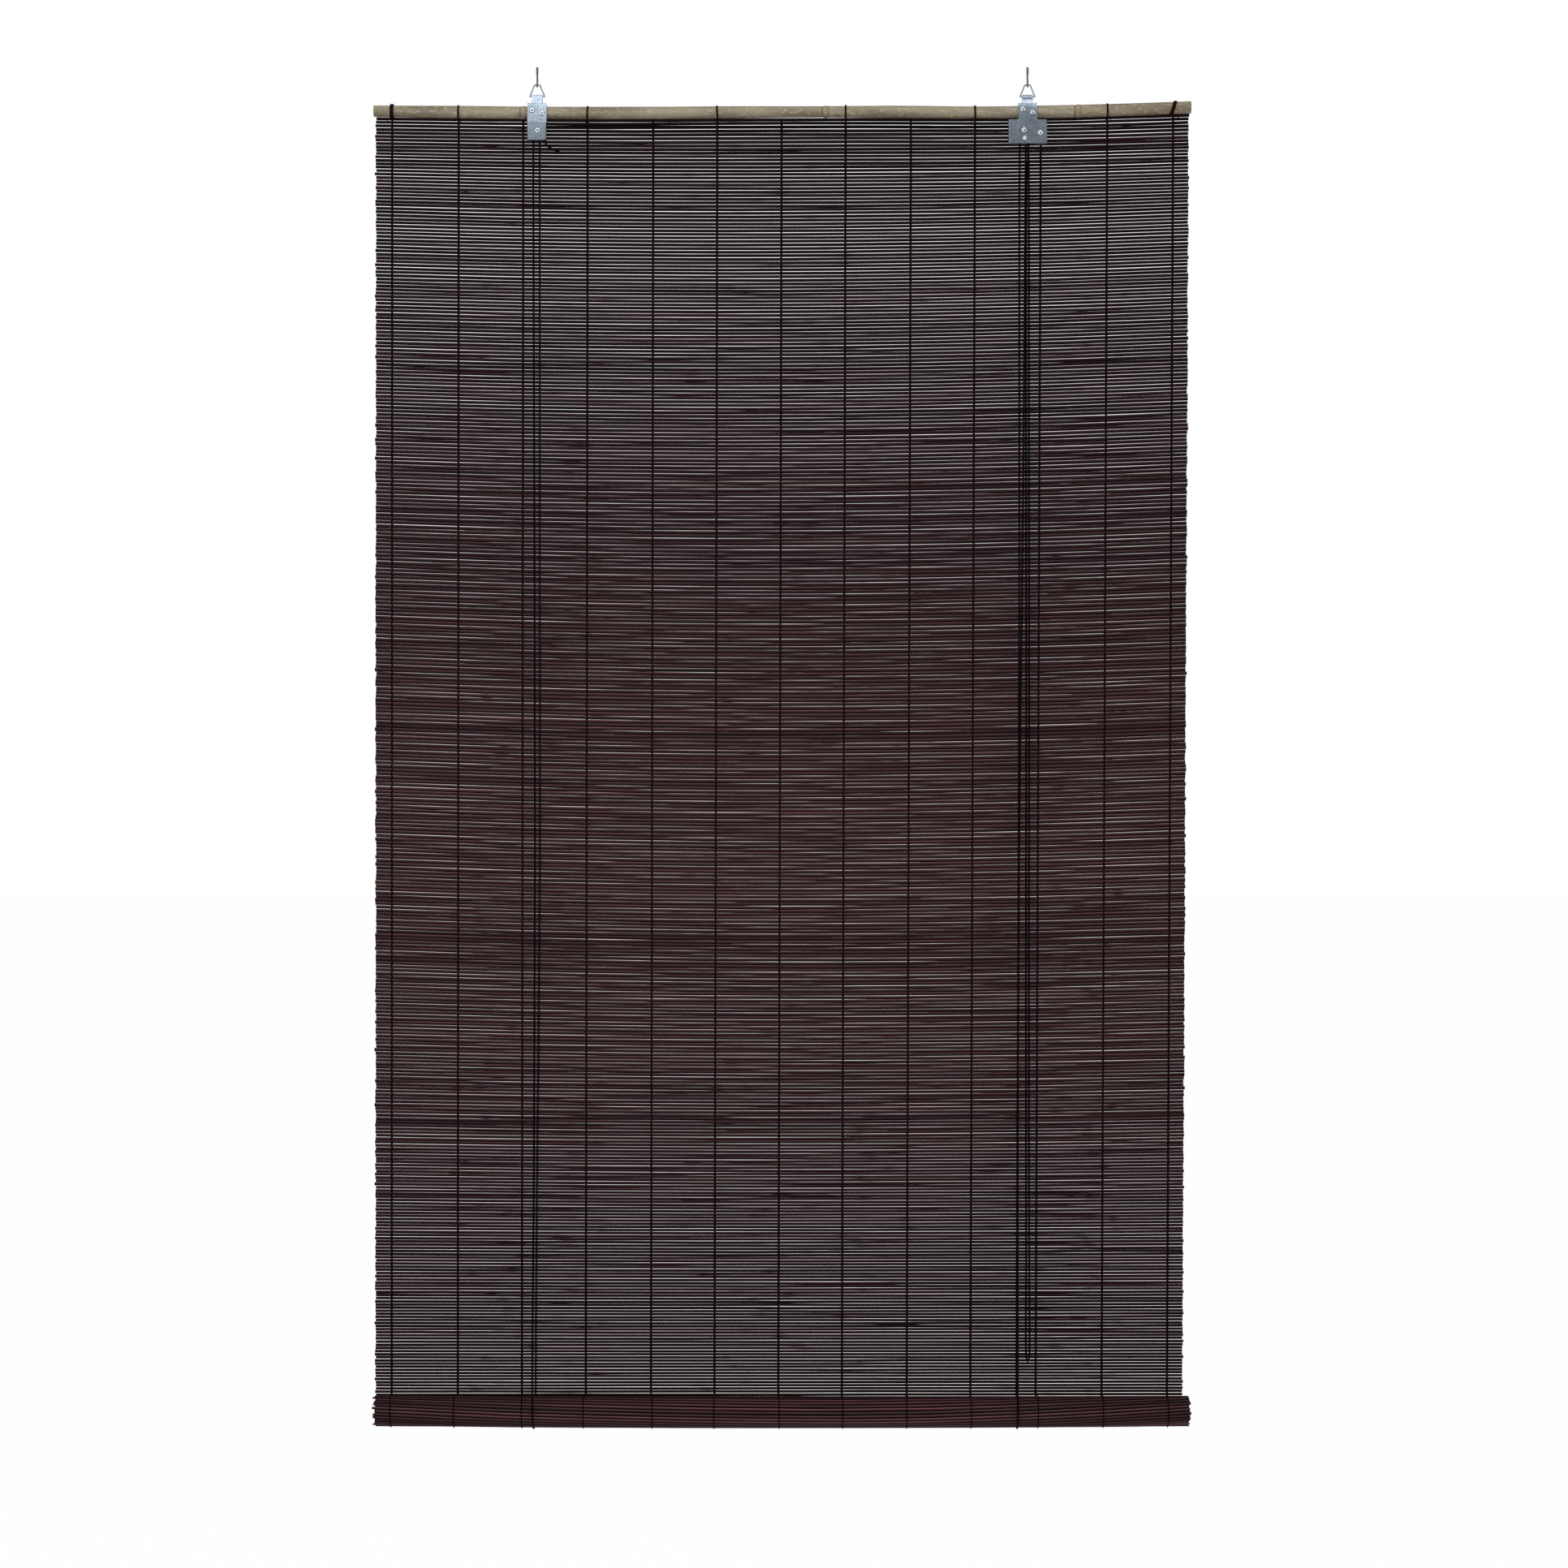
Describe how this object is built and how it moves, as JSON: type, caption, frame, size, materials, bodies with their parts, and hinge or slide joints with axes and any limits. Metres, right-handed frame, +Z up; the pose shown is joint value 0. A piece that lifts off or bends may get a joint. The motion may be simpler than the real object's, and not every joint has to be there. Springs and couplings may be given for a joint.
{
  "type": "bamboo roll up blind",
  "caption": "Bamboo slat roll up blind on two ceiling screw hooks, with lift cords, pulleys and a cord lock that roll it up from the bottom.",
  "frame": {"origin": "midway between the two screw hooks, level with the ends of their threaded shanks at the ceiling", "axes": "+Z up towards the ceiling, +X to the viewer's right along the pole, front of the blind towards -Y"},
  "size_m": [1.0074, 0.0448, 1.6774],
  "materials": {
    "steel_wire": "bright zinc-plated wire",
    "zinc_plate": "bluish zinc-plated sheet",
    "rivets": "bright hollow rivets",
    "pulley_plastic": "white moulded plastic",
    "natural_bamboo": "raw bamboo skin, mottled",
    "dark_slats": "dark stained split bamboo, satin",
    "warp_thread": "dark maroon twisted cotton thread",
    "black_cord": "black braided cord"
  },
  "bodies": {
    "ceiling_hooks": {"left_screw_hook": "steel_wire", "right_screw_hook": "steel_wire"},
    "left_ring": {"left_ring": "steel_wire"},
    "right_ring": {"right_ring": "steel_wire"},
    "head": {"head_pole": "natural_bamboo", "left_hanger": "zinc_plate", "right_hanger": "zinc_plate", "left_pulley_housing": "zinc_plate", "lock_housing": "zinc_plate", "lock_cover": "zinc_plate", "left_pole_rivets": "rivets", "right_pole_rivets": "rivets", "left_pulley_axle": "rivets", "lock_pulley_axle": "rivets", "pawl_pin": "rivets", "anvil_rivet": "rivets", "lock_anvil": "zinc_plate", "slat_mat": "dark_slats", "warp_thread_1": "warp_thread", "warp_thread_2": "warp_thread", "warp_thread_3": "warp_thread", "warp_thread_4": "warp_thread", "warp_thread_5": "warp_thread", "warp_thread_6": "warp_thread", "warp_thread_7": "warp_thread", "warp_thread_8": "warp_thread", "warp_thread_9": "warp_thread", "warp_thread_10": "warp_thread", "warp_thread_11": "warp_thread", "warp_thread_12": "warp_thread", "warp_thread_13": "warp_thread", "lashing_1": "warp_thread", "lashing_2": "warp_thread", "lashing_3": "warp_thread", "lashing_4": "warp_thread", "lashing_5": "warp_thread", "lashing_6": "warp_thread", "lashing_7": "warp_thread", "lashing_8": "warp_thread", "left_front_strand": "black_cord", "left_back_strand": "black_cord", "right_front_strand": "black_cord", "right_back_strand": "black_cord", "left_cord_top": "black_cord", "right_cord_top": "black_cord", "left_tie_knot": "black_cord", "right_tie_knot": "black_cord", "pull_cord": "black_cord", "left_cord_tail": "black_cord"},
    "left_pulley": {"left_pulley": "pulley_plastic"},
    "lock_pulley_back": {"lock_pulley_back": "pulley_plastic"},
    "lock_pulley_front": {"lock_pulley_front": "pulley_plastic"},
    "lock_pawl": {"lock_pawl": "zinc_plate"},
    "lift_loops": {"left_lift_loop": "black_cord", "right_lift_loop": "black_cord"},
    "bottom_roll": {"bottom_roll": "dark_slats", "roll_threads": "warp_thread", "bottom_batten": "natural_bamboo"}
  },
  "joints": [
    {"name": "left_ring_swing", "type": "hinge", "parent": "ceiling_hooks", "child": "left_ring", "pos_m": [-0.302, 0, -0.02175], "axis": [1, 0, 0], "range_deg": [-30, 30]},
    {"name": "right_ring_swing", "type": "hinge", "parent": "ceiling_hooks", "child": "right_ring", "pos_m": [0.302, 0, -0.02175], "axis": [1, 0, 0], "range_deg": [-30, 30]},
    {"name": "head_swing", "type": "hinge", "parent": "left_ring", "child": "head", "pos_m": [0, 0, -0.03605], "axis": [1, 0, 0], "range_deg": [-30, 30]},
    {"name": "roll_lift", "type": "slide", "parent": "head", "child": "lift_loops", "axis": [0, 0, 1], "range_m": [0, 1.45], "deforming": ["slat_mat", "warp_thread_1", "warp_thread_2", "warp_thread_3", "warp_thread_4", "warp_thread_5", "warp_thread_6", "warp_thread_7", "warp_thread_8", "warp_thread_9", "warp_thread_10", "warp_thread_11", "warp_thread_12", "warp_thread_13", "left_front_strand", "right_front_strand", "left_back_strand", "right_back_strand", "pull_cord"]},
    {"name": "roll_spin", "type": "hinge", "parent": "lift_loops", "child": "bottom_roll", "pos_m": [0, 0, -1.655], "axis": [1, 0, 0], "continuous": true},
    {"name": "left_pulley_spin", "type": "hinge", "parent": "head", "child": "left_pulley", "pos_m": [-0.301, -0.0113, -0.0795], "axis": [0, 1, 0], "continuous": true},
    {"name": "lock_pulley_back_spin", "type": "hinge", "parent": "head", "child": "lock_pulley_back", "pos_m": [0.2971, -0.0113, -0.0795], "axis": [0, 1, 0], "continuous": true},
    {"name": "lock_pulley_front_spin", "type": "hinge", "parent": "head", "child": "lock_pulley_front", "pos_m": [0.2971, -0.0153, -0.0795], "axis": [0, 1, 0], "continuous": true},
    {"name": "pawl_swing", "type": "hinge", "parent": "head", "child": "lock_pawl", "pos_m": [0.317, -0.0133, -0.0831], "axis": [0, -1, 0], "range_deg": [0, 22]}
  ],
  "couplings": [
    {"joint": "right_ring_swing", "follows": "left_ring_swing", "ratio": 1},
    {"joint": "roll_spin", "follows": "roll_lift", "rad_per_m": -49.261},
    {"joint": "left_pulley_spin", "follows": "roll_lift", "rad_per_m": 384.62},
    {"joint": "lock_pulley_back_spin", "follows": "roll_lift", "rad_per_m": 384.62},
    {"joint": "lock_pulley_front_spin", "follows": "roll_lift", "rad_per_m": 384.62}
  ]
}
